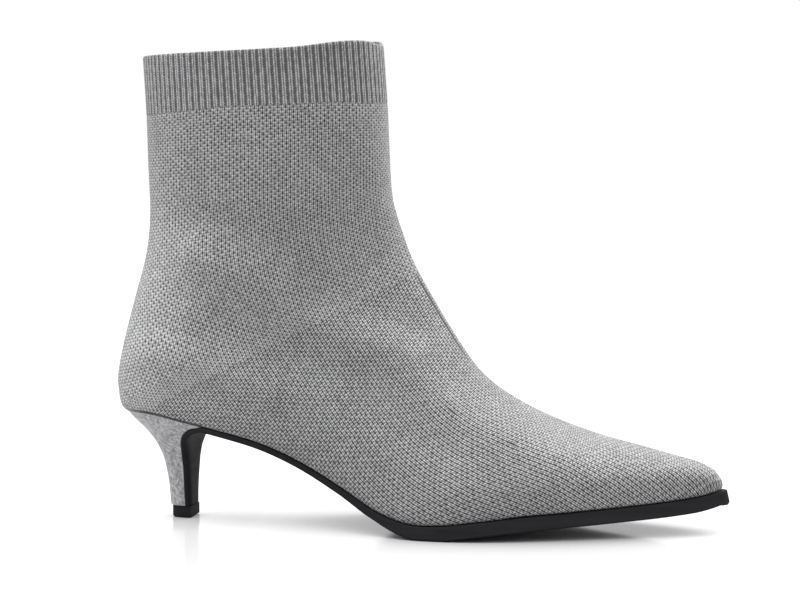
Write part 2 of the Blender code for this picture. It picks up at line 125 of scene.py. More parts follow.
def halfSection(row, columns):
    # one half of a section, from the ridge over the side to the middle of the back or bottom
    height = math.hypot(row["frontX"] - row["backX"], row["frontZ"] - row["backZ"])
    low = row["widest"] * height
    turn = np.linspace(0, math.pi / 2, turnSteps)
    over = np.column_stack([low + (height - low) * np.cos(turn) ** (2 / row["crown"]),
                            row["side"] * np.sin(turn) ** (2 / row["crown"])])
    bulge = row["side"] - row["feather"]
    below = np.column_stack([low * (1 - np.sin(turn) ** (2 / row["under"])),
                             row["feather"] + bulge * np.cos(turn) ** (2 / row["under"])])
    curve = np.vstack([over, below[1:], [(0.0, 0.0)]])
    lengths = np.concatenate([[0], np.cumsum(np.linalg.norm(np.diff(curve, axis=0), axis=1))])
    whole = lengths[-1]
    flat = max(whole - lengths[-2], min(backSpread, backShare * whole))
    standing = np.interp(columns, [0, featherColumn, marginColumn, halfColumns],
                         [0, whole - flat, whole - flat * marginShare, whole])
    closed = np.asarray(columns) / halfColumns * whole
    target = closed * (1 - row["foot"]) + standing * row["foot"]
    return np.column_stack([np.interp(target, lengths, curve[:, i]) for i in (0, 1)])


def sectionRing(row, perColumn):
    # points round a section: down the outer side from the ridge, then up the inner side
    half = halfSection(row, np.arange(0, halfColumns + 1e-9, 1 / perColumn))
    sides = [(way, -width) for way, width in half] + [(way, width) for way, width in half[-2:0:-1]]
    span = np.array([row["frontX"] - row["backX"], row["frontZ"] - row["backZ"]])
    share = np.array([way for way, _ in sides]) / np.linalg.norm(span)
    y = np.array([width for _, width in sides])
    return np.column_stack([row["backX"] + span[0] * share,
                            y + row["swing"] * (1 - share) + row["ridge"] * share,
                            row["backZ"] + span[1] * share])


def loftRings(name, rings):
    # a circle is extruded once for each ring, and each new edge loop is set to its ring
    bpy.ops.object.select_all(action="DESELECT")
    bpy.ops.mesh.primitive_circle_add(vertices=len(rings[0]), radius=0.05)
    piece = bpy.context.active_object
    piece.name = name
    piece.data.name = name
    bpy.ops.object.mode_set(mode="EDIT")
    bpy.ops.mesh.select_mode(type="VERT")
    bpy.ops.mesh.select_all(action="SELECT")
    work = bmesh.from_edit_mesh(piece.data)
    work.verts.layers.int.new("column")
    work.verts.layers.int.new("ring")
    for number, ring in enumerate(rings):
        if number:
            bpy.ops.mesh.extrude_edges_indiv()
        work = bmesh.from_edit_mesh(piece.data)
        columnLayer = work.verts.layers.int["column"]
        ringLayer = work.verts.layers.int["ring"]
        spots = (np.asarray(ring, float) - bootOrigin) * mm
        for index, vert in enumerate(work.verts):
            if vert.select:
                if not number:
                    vert[columnLayer] = index
                vert[ringLayer] = number
                vert.co = spots[vert[columnLayer]]
        bmesh.update_edit_mesh(piece.data)
    return piece


def closeEnds(piece, ringCount, toPoint=False):
    for number in (0, ringCount - 1):
        work = bmesh.from_edit_mesh(piece.data)
        ringLayer = work.verts.layers.int["ring"]
        bpy.ops.mesh.select_all(action="DESELECT")
        for vert in work.verts:
            vert.select_set(vert[ringLayer] == number)
        work.select_flush(True)
        bmesh.update_edit_mesh(piece.data)
        bpy.ops.mesh.edge_face_add()
        if toPoint:
            bpy.ops.mesh.poke()


def bridgeOpenEdges(piece):
    bpy.ops.mesh.select_mode(type="EDGE")
    bpy.ops.mesh.select_all(action="DESELECT")
    work = bmesh.from_edit_mesh(piece.data)
    for edge in work.edges:
        edge.select_set(edge.is_boundary)
    bmesh.update_edit_mesh(piece.data)
    bpy.ops.mesh.bridge_edge_loops()


def finishPiece(piece, sharpAngle):
    bpy.ops.mesh.select_all(action="SELECT")
    bpy.ops.mesh.normals_make_consistent(inside=False)
    bpy.ops.object.mode_set(mode="OBJECT")
    bpy.ops.object.select_all(action="DESELECT")
    piece.select_set(True)
    bpy.context.view_layer.objects.active = piece
    bpy.ops.object.transform_apply(location=True, rotation=True, scale=True)
    bpy.ops.object.shade_smooth_by_angle(angle=math.radians(sharpAngle))


def readNumbers(items, field):
    values = np.zeros(len(items), np.int32)
    items.foreach_get(field, values)
    return values


def mapStitches(piece, name, leg, half, whole=0.0, foot=None, footRings=()):
    # stitch map in millimetres or ribs: across counts from the ridge, the seam is behind or below
    mesh = piece.data
    corner = readNumbers(mesh.loops, "vertex_index")
    starts = readNumbers(mesh.polygons, "loop_start")
    counts = readNumbers(mesh.polygons, "loop_total")
    column, ring = (readNumbers(mesh.attributes[layer].data, "value")[corner]
                    for layer in ("column", "ring"))
    highest = np.repeat(np.maximum.reduceat(column, starts), counts)
    across, along = (table[ring, column] for table in leg)
    if foot:
        # faces of the foot have a map of their own, which meets the leg's at the gore line
        onFoot = np.repeat(np.logical_and.reduceat(np.isin(ring, footRings), starts), counts)
        across, along = (np.where(onFoot, table[ring, column], plain)
                         for table, plain in zip(foot, (across, along)))
    if whole:
        across = np.where((column == 0) & (highest > half), whole, across)
    else:
        across = np.where(highest > half, -across, across)
    spots = np.column_stack([across, along]).astype(np.float32)
    layer = mesh.uv_layers.new(name=name)
    layer.data.foreach_set("uv", spots.ravel())


# Materials

def linearColour(hexCode):
    values = [int(hexCode[i:i + 2], 16) / 255 for i in (1, 3, 5)]
    return tuple(v / 12.92 if v <= 0.04045 else ((v + 0.055) / 1.055) ** 2.4 for v in values) + (1.0,)


nodeModes = {"Math": "operation", "VectorMath": "operation", "MapRange": "interpolation_type",
             "Mix": "data_type", "TexWhiteNoise": "noise_dimensions", "UVMap": "uv_map",
             "Attribute": "attribute_name"}


def addNode(tree, label, kind, inputs=(), settings=None):
    # kind is the type of node and its mode; inputs, by socket or in order, are numbers, hex colours
    # or nodes already there: "label" for the first output, or "label.Output"
    kind, _, mode = kind.partition(" ")
    node = tree.nodes.new("ShaderNode" + kind)
    node.name = node.label = label
    settings = dict(settings or {})
    if mode:
        settings[nodeModes[kind]] = mode
    for key, value in settings.items():
        setattr(node, key, value)
    for socket, value in inputs.items() if isinstance(inputs, dict) else enumerate(inputs):
        if isinstance(value, str) and value.startswith("#"):
            value = linearColour(value)
        if isinstance(value, str):
            source, _, output = value.partition(".")
            output = int(output) if output.isdigit() else output or 0
            tree.links.new(tree.nodes[source].outputs[output], node.inputs[socket])
        else:
            node.inputs[socket].default_value = value


def newMaterial(name, rows, inputs):
    material = bpy.data.materials.new(name)
    material.use_nodes = True
    tree = material.node_tree
    tree.nodes.clear()
    for row in rows:
        addNode(tree, *row)
    addNode(tree, "surface", "BsdfPrincipled", inputs)
    addNode(tree, "out", "OutputMaterial", {"Surface": "surface.BSDF"})
    return material


knit = {
    "wale": 1.62,                   # mm between columns of stitches
    "course": 1.1,                  # mm between rows of stitches
    "lean": 0.5,                    # how far the legs of a stitch lean, in rows
    "sway": 3.3333,                 # mm over which the columns wander
    "drift": 20.0,                  # mm over which the tone of the yarn drifts
    # lit and shaded tones of one yarn, mixed by each leg's height: painted highlight on the legs' tops,
    # painted shade at their sides and ends
    "litYarn": "#BABABB",
    "shadedYarn": "#3F3F40",
    "gapShade": "#202021",
    "relief": 0.25,                 # mm from the gaps to the tops of the stitches
    "footRows": 300.0,              # rows of the foot are counted from here, in mm
    "toeRows": (445.0, 485.0),      # over these rows the foot's stitches close up into the toe's
    # on leg, foot and toe: depth of the lines between columns and between the legs of a stitch,
    # height of a leg's sides and of its ends
    "line": (0.38, 0.76, 0.82),
    "heart": (0.0, 0.62, 0.85),
    "side": (0.0, 0.36, 0.14),
    "low": (0.34, 0.15, 0.32),
    "seamRows": (405.0, 450.0),     # rows between which a dark line runs down the front
    "seamAt": 3.2,                  # its way from the ridge, towards the outer side
    "seamHalf": 0.8,
    # two long dark stitches on the instep, where columns are taken in: place and half size in mm
    "takenIn": {"A": (29.16, 463.5, 0.4545, 3.5714), "B": (29.16, 492.5, 0.4762, 2.381)},
}


def knitRows(size):
    seamTop, seamEnd = size["seamRows"]
    rows = [
        ("stitch", "UVMap stitch"),
        ("place", "SeparateXYZ", ["stitch.UV"]),
        ("sway", "TexNoise", {"Vector": "stitch.UV", "Scale": 1 / size["sway"], "Detail": 1.0}),
        ("wander", "MapRange", ["sway.Fac", 0.3, 0.7, -0.05, 0.05]),
        ("wale", "Math MULTIPLY_ADD", ["place.X", 1 / size["wale"], "wander"]),
        ("course", "Math MULTIPLY", ["place.Y", 1 / size["course"]]),
        # distance from the gap between two columns, and which gap it is
        ("gapNumber", "Math ROUND", ["wale"]),
        ("offset", "Math SUBTRACT", ["wale", "gapNumber"]),
        ("fromGap", "Math ABSOLUTE", ["offset"]),
        # a dark dash in every second row of a gap, staggered from gap to gap, each with its own depth
        ("odd", "Math FLOORED_MODULO", ["gapNumber", 2.0]),
        ("dashTurn", "Math ADD", ["course", "odd"]),
        ("dashAngle", "Math MULTIPLY", ["dashTurn", math.pi]),
        ("dashWave", "Math COSINE", ["dashAngle"]),
        ("dashHalf", "Math MULTIPLY", ["dashTurn", 0.5]),
        ("dashNumber", "Math ROUND", ["dashHalf"]),
        ("dashSpot", "CombineXYZ", ["gapNumber", "dashNumber"]),
        ("dashTone", "TexWhiteNoise 2D", {"Vector": "dashSpot"}),
        ("dashDepth", "MapRange", ["dashTone.Value", 0, 1, -0.1, 0.1]),
        # the dashes stand apart on the leg and nearly meet on the foot
        ("onFoot", "Math GREATER_THAN", ["place.Y", size["footRows"]]),
        ("onToe", "MapRange", ["place.Y", *size["toeRows"]]),
        ("dashReach", "MapRange", ["onFoot", 0, 1, 0.72, 0.5]),
        ("dashLift", "MapRange", ["onFoot", 0, 1, -0.05, 0.09]),
        ("dashRise", "Math MULTIPLY_ADD", ["dashWave", "dashReach", "dashLift"]),
        ("dashCut", "Math MULTIPLY_ADD", ["fromGap", -2.4, "dashRise"]),
        ("dashSum", "Math ADD", ["dashCut", "dashDepth"]),
        ("dash", "MapRange SMOOTHSTEP", ["dashSum", -0.5, 0.5]),
    ]
    for part in ("line", "heart", "side", "low"):
        leg, foot, toe = size[part]
        rows += [
            (part + "Foot", "MapRange", ["onFoot", 0, 1, leg, foot]),
            (part + "Depth", "Mix", {0: "onToe", 2: part + "Foot", 3: toe}),
        ]
    for part, (across, along, halfWide, halfLong) in size["takenIn"].items():
        rows += [
            ("take" + part, "VectorMath SUBTRACT", ["stitch.UV", (across, along, 0.0)]),
            ("size" + part, "VectorMath MULTIPLY", ["take" + part, (1 / halfWide, 1 / halfLong, 0.0)]),
            ("far" + part, "VectorMath LENGTH", ["size" + part]),
        ]
    return rows + [
        # a shaded line along every gap, and on the foot one between the legs too
        ("line", "MapRange SMOOTHSTEP", ["fromGap", 0.04, 0.24, "lineDepth", 0.0]),
        ("heart", "MapRange SMOOTHSTEP", ["fromGap", 0.39, 0.5, 0.0, "heartDepth"]),
        # a dark line down the front of the instep
        ("seamWay", "Math SUBTRACT", ["place.X", size["seamAt"]]),
        ("fromSeam", "Math ABSOLUTE", ["seamWay"]),
        ("seamBand", "MapRange SMOOTHSTEP",
         ["fromSeam", 0.5 * size["seamHalf"], 1.4 * size["seamHalf"], 1.0, 0.0]),
        ("seamTop", "MapRange", ["place.Y", seamTop - 6, seamTop + 4]),
        ("seamEnd", "MapRange", ["place.Y", seamEnd - 8, seamEnd + 4, 0.8, 0.0]),
        ("seamRun", "Math MULTIPLY", ["seamTop", "seamEnd"]),
        ("seam", "Math MULTIPLY", ["seamBand", "seamRun"]),
        # the long dark stitches
        ("nearest", "Math MINIMUM", ["farA.Value", "farB.Value"]),
        ("taken", "MapRange SMOOTHSTEP", ["nearest", 0.55, 1.2, 0.95, 0.0]),
        ("darkLine", "Math MAXIMUM", ["line", "heart"]),
        ("lineOpen", "Math SUBTRACT", [1.0, "darkLine"]),
        ("darkSeam", "Math MAXIMUM", ["seam", "taken"]),
        ("darkDash", "Math MAXIMUM", ["dash", "darkSeam"]),
        ("dashOpen", "Math SUBTRACT", [1.0, "darkDash"]),
        ("open", "Math MULTIPLY", ["lineOpen", "dashOpen"]),
        ("dark", "Math SUBTRACT", [1.0, "open"]),
        # two round leaning legs in each column
        ("legSide", "Math MULTIPLY_ADD", ["fromGap", 4.0, -1.0]),
        ("legSquare", "Math MULTIPLY", ["legSide", "legSide"]),
        ("legRound", "MapRange", ["legSquare", 0, 1, 1.0, "sideDepth"]),
        ("legTurn", "Math MULTIPLY_ADD", ["fromGap", size["lean"], "course"]),
        ("legAngle", "Math MULTIPLY", ["legTurn", 2 * math.pi]),
        ("legWave", "Math COSINE", ["legAngle"]),
        ("legRise", "MapRange", ["legWave", -1.0, 1.0, "lowDepth", 1.0]),
        ("leg", "Math MULTIPLY", ["legRise", "legRound"]),
        ("height", "Math MULTIPLY", ["leg", "open"]),
        # each leg has its own tone, and the yarn drifts over a few centimetres
        ("halfWale", "Math MULTIPLY", ["wale", 2.0]),
        ("waleCell", "Math FLOOR", ["halfWale"]),
        ("courseCell", "Math ROUND", ["legTurn"]),
        ("cell", "CombineXYZ", ["waleCell", "courseCell"]),
        ("stitchTone", "TexWhiteNoise 2D", {"Vector": "cell"}),
        ("drift", "TexNoise", {"Vector": "stitch.UV", "Scale": 1 / size["drift"], "Detail": 2.0}),
        ("toneA", "MapRange", ["stitchTone.Value", 0, 1, -0.15, 0.15]),
        ("toneB", "MapRange", ["drift.Fac", 0.3, 0.7, -0.03, 0.03]),
        ("tone", "Math ADD", ["toneA", "toneB"]),
        # painted shade and highlight: the colour runs from the shaded tone at a leg's sides and ends to the
        # lit tone on its top, shifted by the leg's own tone
        ("yarnShare", "Math ADD", ["leg", "tone"]),
        ("yarn", "Mix RGBA", {0: "yarnShare", 6: size["shadedYarn"], 7: size["litYarn"]}),
        ("colour", "Mix RGBA", {0: "dark", 6: "yarn.2", 7: size["gapShade"]}),
        ("bump", "Bump", {"Height": "height", "Strength": 0.8, "Distance": size["relief"] * mm}),
    ]


# Grey polyester knit, bird's-eye: matt stitches with dark dashes between the columns, a faint fuzz
knitMaterial = newMaterial("bird_eye_knit", knitRows(knit), inputs={
    "Base Color": "colour.2", "Roughness": 0.88, "IOR": 1.5, "Specular IOR Level": 0.25,
    "Sheen Weight": 0.12, "Sheen Roughness": 0.5, "Normal": "bump.Normal"})

ribKnit = {
    "course": 1.1,        # mm between rows of stitches
    "lean": 2.4,          # how far the stitches lean, in rows to a rib
    "columnAt": 0.17,     # middle of a rib's two columns of stitches, from the middle of the rib
    "columnHalf": 0.11,
    "backRib": 48.0,      # number of the rib at the middle of the back
    "pullShadeHeights": (178.0, 202.0),  # the ribs are pulled apart, with their yarn painted darker as shade, between these heights,
    "pullShadeSides": (12.0, 26.0),      # from so many ribs from the back
    "pullShadeEnds": (39.0, 44.0),       # and up to so many
    "rib": "#AAAAAB",
    "ribShade": "#565657",
    "groove": "#424243",
    "relief": 0.25,
}
# Rib knit of the cuff: pale double columns of stitches, dark dashed grooves
ribMaterial = newMaterial("rib_knit", [
    ("stitch", "UVMap stitch"),
    ("place", "SeparateXYZ", ["stitch.UV"]),
    ("ribNumber", "Math ROUND", ["place.X"]),
    ("offset", "Math SUBTRACT", ["place.X", "ribNumber"]),
    ("fromTop", "Math ABSOLUTE", ["offset"]),
    ("course", "Math MULTIPLY", ["place.Y", 1 / ribKnit["course"]]),
    # the round columns, of leaning stitches
    ("columnSide", "Math MULTIPLY_ADD",
     ["fromTop", 1 / ribKnit["columnHalf"], -ribKnit["columnAt"] / ribKnit["columnHalf"]]),
    ("columnSquare", "Math MULTIPLY", ["columnSide", "columnSide"]),
    ("columnRound", "MapRange", ["columnSquare", 0.0, 1.8, 1.0, 0.15]),
    ("legTurn", "Math MULTIPLY_ADD", ["fromTop", ribKnit["lean"], "course"]),
    ("legAngle", "Math MULTIPLY", ["legTurn", 2 * math.pi]),
    ("legWave", "Math COSINE", ["legAngle"]),
    ("legRise", "MapRange", ["legWave", -1.0, 1.0, 0.38, 1.0]),
    ("leg", "Math MULTIPLY", ["legRise", "columnRound"]),
    # dashes in the middle of the rib, and saw-edged grooves between the ribs
    ("dashAngle", "Math MULTIPLY", ["course", 2 * math.pi]),
    ("dashWave", "Math COSINE", ["dashAngle"]),
    ("dashRise", "MapRange", ["dashWave", -1.0, 1.0, 0.3, 0.8]),
    ("heart", "MapRange SMOOTHSTEP", ["fromTop", 0.02, 0.11, 1.0, 0.0]),
    ("heartDash", "Math MULTIPLY", ["heart", "dashRise"]),
    ("grooveEdge", "Math MULTIPLY_ADD", ["legWave", -0.03, "fromTop"]),
    # the ribs are pulled apart towards the collar, except at the back and the very front: there the grooves
    # open wider and the yarn is painted darker, a painted shade
    ("fromBack", "Math SUBTRACT", ["place.X", ribKnit["backRib"]]),
    ("aroundBack", "Math ABSOLUTE", ["fromBack"]),
    ("pullAround", "MapRange SMOOTHSTEP", ["aroundBack", *ribKnit["pullShadeSides"]]),
    ("pullUp", "MapRange", ["place.Y", *ribKnit["pullShadeHeights"]]),
    ("pullFront", "MapRange", ["aroundBack", *ribKnit["pullShadeEnds"], 1.0, 0.0]),
    ("pullSide", "Math MULTIPLY", ["pullAround", "pullFront"]),
    ("pull", "Math MULTIPLY", ["pullSide", "pullUp"]),
    ("grooveWide", "Math MULTIPLY_ADD", ["pull", 0.025, "grooveEdge"]),
    ("groove", "MapRange SMOOTHSTEP", ["grooveWide", 0.25, 0.35]),
    ("purlTurn", "Math MULTIPLY_ADD", ["place.X", 2.0, "course"]),
    ("purlAngle", "Math MULTIPLY", ["purlTurn", 2 * math.pi]),
    ("purlWave", "Math COSINE", ["purlAngle"]),
    ("grooveRise", "MapRange", ["purlWave", -1.0, 0.5, 0.12, 1.0]),
    ("grooveDash", "Math MULTIPLY", ["groove", "grooveRise"]),
    ("dark", "Math MAXIMUM", ["heartDash", "grooveDash"]),
    ("open", "Math SUBTRACT", [1.0, "dark"]),
    ("height", "Math MULTIPLY", ["leg", "open"]),
    # each side of a rib has its own tone in every row
    ("side", "Math MULTIPLY", ["place.X", 2.0]),
    ("sideCell", "Math FLOOR", ["side"]),
    ("courseCell", "Math ROUND", ["legTurn"]),
    ("cell", "CombineXYZ", ["sideCell", "courseCell"]),
    ("stitchTone", "TexWhiteNoise 2D", {"Vector": "cell"}),
    ("ownTone", "MapRange", ["stitchTone.Value", 0, 1, -0.2, 0.26]),
    # painted shade: the yarn of the pulled ribs is darkened towards the collar
    ("tone", "Math MULTIPLY_ADD", ["pull", -0.14, "ownTone"]),
    ("yarnShare", "Math ADD", ["leg", "tone"]),
    ("yarn", "Mix RGBA", {0: "yarnShare", 6: ribKnit["ribShade"], 7: ribKnit["rib"]}),
    ("colour", "Mix RGBA", {0: "dark", 6: "yarn.2", 7: ribKnit["groove"]}),
    ("bump", "Bump", {"Height": "height", "Strength": 0.7, "Distance": ribKnit["relief"] * mm}),
], inputs={"Base Color": "colour.2", "Roughness": 0.88, "Specular IOR Level": 0.25,
           "Sheen Weight": 0.12, "Sheen Roughness": 0.5, "Normal": "bump.Normal"})

suede = {
    "patch": 1.6129,      # mm, brushed patches
    "nap": 0.5882,        # mm, coarser than a real nap so that it shows
    "relief": 0.12,
    "shade": "#605F61",
    "light": "#B2B1B3",
    "napTone": "#7B7A7C",
    # painted shadow of the gap between the cover and the upper
    "edge": "#111112",
}
# Microfibre suede on the heel: pale grey nap, brushed into soft patches, quite matt
suedeMaterial = newMaterial("microfibre_suede", [
    ("coords", "TexCoord"),
    ("patches", "TexNoise",
     {"Vector": "coords.Object", "Scale": 1 / (suede["patch"] * mm), "Detail": 4.0,
      "Roughness": 0.7, "Distortion": 0.6}),
    ("nap", "TexNoise",
     {"Vector": "coords.Object", "Scale": 1 / (suede["nap"] * mm), "Detail": 2.0, "Roughness": 0.7}),
    ("patchShare", "MapRange SMOOTHSTEP", ["patches.Fac", 0.34, 0.66]),
    ("napShare", "MapRange", ["nap.Fac", 0.35, 0.65, 0.0, 0.6]),
    ("base", "Mix RGBA", {0: "patchShare", 6: suede["shade"], 7: suede["light"]}),
    ("brushed", "Mix RGBA", {0: "napShare", 6: "base.2", 7: suede["napTone"]}),
    # painted shadow: a dark band along the cover's top edge, where it meets the upper, stands in for the
    # shade of the gap between them
    ("edge", "Attribute turnedEdge"),
    ("colour", "Mix RGBA", {0: "edge.Fac", 6: "brushed.2", 7: suede["edge"]}),
    ("bump", "Bump", {"Height": "nap.Fac", "Strength": 0.5, "Distance": suede["relief"] * mm}),
], inputs={"Base Color": "colour.2", "Roughness": 0.95, "Specular IOR Level": 0.15,
           "Sheen Weight": 0.25, "Sheen Roughness": 0.6, "Normal": "bump.Normal"})

soleRubber = {
    "grain": 0.9091,                # mm, coarser than a real moulding grain so that it shows
    "streak": (25.0, 25.0, 2.381),  # mm, rubbed streaks
    "relief": 0.06,
    "dark": "#161617",
    "light": "#28282A",
}
# Moulded black sole, satin: a fine moulding grain and rubbed streaks along the edge
soleMaterial = newMaterial("moulded_sole_rubber", [
    ("coords", "TexCoord"),
    ("grain", "TexNoise",
     {"Vector": "coords.Object", "Scale": 1 / (soleRubber["grain"] * mm), "Detail": 3.0}),
    ("stretch", "Mapping",
     {"Vector": "coords.Object", "Scale": [1 / (way * mm) for way in soleRubber["streak"]]}),
    ("rub", "TexNoise", {"Vector": "stretch.Vector", "Scale": 1.0, "Detail": 4.0}),
    ("colour", "Mix RGBA", {0: "rub.Fac", 6: soleRubber["dark"], 7: soleRubber["light"]}),
    ("gloss", "MapRange", ["rub.Fac", 0.3, 0.7, 0.5, 0.66]),
    ("bump", "Bump", {"Height": "grain.Fac", "Strength": 0.35, "Distance": soleRubber["relief"] * mm}),
], inputs={"Base Color": "colour.2", "Roughness": "gloss", "Specular IOR Level": 0.03,
           "Normal": "bump.Normal"})

tipRubber = {"grain": 1.1111, "relief": 0.08, "dark": "#161617", "light": "#28282A"}
# Hard heel-tip rubber: as black as the sole but duller, with a coarser grain
liftMaterial = newMaterial("heel_tip_rubber", [
    ("coords", "TexCoord"),
    ("grain", "TexNoise",
     {"Vector": "coords.Object", "Scale": 1 / (tipRubber["grain"] * mm), "Detail": 4.0}),
    ("colour", "Mix RGBA", {0: "grain.Fac", 6: tipRubber["dark"], 7: tipRubber["light"]}),
    ("gloss", "MapRange", ["grain.Fac", 0.3, 0.7, 0.55, 0.75]),
    ("bump", "Bump", {"Height": "grain.Fac", "Strength": 0.4, "Distance": tipRubber["relief"] * mm}),
], inputs={"Base Color": "colour.2", "Roughness": "gloss", "Specular IOR Level": 0.04,
           "Normal": "bump.Normal"})

footbedNap = {"nap": 1.4286, "relief": 0.15, "dark": "#3A3A3C", "light": "#56565A"}
# Footbed of brushed microfibre: dark grey, fine nap
footbedMaterial = newMaterial("brushed_footbed", [
    ("coords", "TexCoord"),
    ("nap", "TexNoise", {"Vector": "coords.Object", "Scale": 1 / (footbedNap["nap"] * mm), "Detail": 4.0}),
    ("colour", "Mix RGBA", {0: "nap.Fac", 6: footbedNap["dark"], 7: footbedNap["light"]}),
    ("bump", "Bump", {"Height": "nap.Fac", "Strength": 0.4, "Distance": footbedNap["relief"] * mm}),
], inputs={"Base Color": "colour.2", "Roughness": 0.9, "Specular IOR Level": 0.2, "Normal": "bump.Normal"})
print("materials made")


# Knitted upper below the cuff

upperSize = {
    "wall": 1.8,
    "perColumn": 3,         # mesh columns to each column of the source
    "outsideSteps": 5,      # rings from one row of the table to the next
    "insideSteps": 2,
    "toeStiffener": 6.5,
    "topRings": 10,         # closer rings just under the cuff
    "topStep": 1 / 40,
    "nextStep": 0.12,       # and the step of those down to the next row
    "tuck": 0.15,           # the knit turns in at the cuff
    "tuckSpread": 1.0,
    # x, rise of the cuff's lower edge
    "topRise": ((20.0, -0.3), (60.0, 2.2), (105.0, 2.3), (121.0, 0.9)),
    "topRiseOver": 14.0,
    "openFrom": "seatBack",
    "openTo": "toeWing",
    "walesFrom": 60.0,      # rows are counted along the side, this far from the ridge,
    "walesShare": 0.55,     # or at this share of a short side
    "columnShare": 0.35,    # and this share of them along each column, so that they open less at the heel
    "goreFrom": 10.6,       # place along the last where the foot's own stitch map begins
    "sharp": 60,            # degrees between faces from which an edge stays sharp
}
# The foot's stitch map along the last: width of the columns, how far they run off the ridge,
# slant of the rows and their height
footStitches = {
    "scale": {"waist": 1.0, "arch": 0.99, "shank": 0.94, "jointBack": 0.905, "ball": 0.88, "joint": 0.855,
              "vamp": 0.855, "toeTaper": 0.88, "toeEnd": 0.89},
    "shift": {"joint": 0.0, "vamp": 1.7, "toeBox": 3.8, "toeTaper": 5.1, "toeWing": 6.6, "toeEnd": 7.2},
    "slant": {"seat": 0.125, "waist": 0.163, "shank": 0.138, "ball": 0.113, "joint": 0.175,
              "vamp": 0.35, "toeBox": 0.325, "toeEnd": 0.19},
    "rows": {"seat": 1.0, "waist": 0.94, "shank": 0.86, "ball": 0.8, "joint": 0.775,
             "vamp": 0.74, "toeBox": 0.775, "toeEnd": 0.85},
}
# Soft folds of the side, (x, z) points along each; they come up to full depth this far from the
# middle, and those of the inner side are shallower
foldReach = 26.0
innerFolds = 0.5
creases = [
    {"line": [(103, 98), (120, 94), (138, 87)], "width": 10.0, "height": -3.4},
    {"line": [(46, 116), (70, 107), (91, 94), (111, 85), (134, 76)], "width": 10.0, "height": 3.6},
    {"line": [(59, 89), (80, 76), (102, 68), (128, 64)], "width": 9.0, "height": -3.0},
    {"line": [(21, 75), (48, 70), (78, 59)], "width": 8.0, "height": 2.2},
    {"line": [(42, 132), (66, 129), (85, 124)], "width": 8.0, "height": -1.8},
    {"line": [(135, 66), (154, 54), (176, 44), (201, 35)], "width": 8.0, "height": 2.0},
    {"line": [(126, 50), (147, 38), (169, 26), (185, 21)], "width": 9.0, "height": -1.2},
]


def alongCrease(points, line):
    # shortest distance in the side view from each point to a line of straight stretches
    nearest = np.full(len(points), 1e9)
    spots = points[:, [0, 2]]
    for a, b in zip(np.array(line[:-1], float), np.array(line[1:], float)):
        share = np.clip(((spots - a) @ (b - a)) / np.dot(b - a, b - a), 0, 1)
        nearest = np.minimum(nearest, np.linalg.norm(spots - (a + share[:, None] * (b - a)), axis=1))
    return nearest


def topRise(x):
    return np.interp(x, *zip(*upperSize["topRise"]))


def raiseTop(rings):
    # the rings under the cuff follow its lower edge
    below = np.linalg.norm(rings - rings[:1], axis=2)
    rings[:, :, 2] += topRise(rings[:, :, 0]) * np.clip(1 - below / upperSize["topRiseOver"], 0, 1)
    return below


def foldRise(rings):
    points = rings.reshape(-1, 3)
    outwards = points[:, 1] / foldReach
    sideways = np.clip(-outwards, 0, 1) + innerFolds * np.clip(outwards, 0, 1)
    rise = np.zeros(len(points))
    for crease in creases:
        away = alongCrease(points, crease["line"])
        rise += crease["height"] * np.exp(-((away / crease["width"]) ** 2)) * sideways
    return rise.reshape(rings.shape[:2])


def waysOut(rings):
    # ways out of the surface, to push the folds along
    across = np.roll(rings, -1, axis=1) - np.roll(rings, 1, axis=1)
    normal = np.cross(across, np.gradient(rings, axis=0))
    normal /= np.maximum(np.linalg.norm(normal, axis=2)[:, :, None], 1e-9)
    # on the leg a way out leads away from the middle
    legRings = 20
    spokes = rings - rings.mean(axis=1)[:, None, :]
    return normal * np.sign(np.sum(normal[:legRings] * spokes[:legRings]))


def upperRings(size):
    first = rowPlace("cuffEdge")
    end = len(lastRows) - 1
    outsidePlaces = [first + k * size["topStep"] for k in range(size["topRings"])]
    topEnd = first + size["topRings"] * size["topStep"]
    outsidePlaces += list(np.arange(topEnd, first + 1, size["nextStep"]))
    outsidePlaces += list(np.arange(first + 1, end + 1e-6, 1 / size["outsideSteps"]))
    outside = np.array([sectionRing(lastRow(p), size["perColumn"]) for p in outsidePlaces])
    below = raiseTop(outside)
    rise = foldRise(outside) - size["tuck"] * np.exp(-((below / size["tuckSpread"]) ** 2))
    shaped = outside + waysOut(outside) * rise[:, :, None]
    stopX = lastRow(end)["backX"] - size["toeStiffener"]
    insidePlaces = [p for p in np.arange(first, end, 1 / size["insideSteps"])
                    if lastRow(p)["backX"] < stopX or p < rowPlace("toeWing")]
    inside = np.array([sectionRing(insetRow(lastRow(p), size["wall"]), size["perColumn"])
                       for p in insidePlaces])
    raiseTop(inside)
    inside += waysOut(inside) * foldRise(inside)[:, :, None]
    return outside, shaped, outsidePlaces, inside, insidePlaces


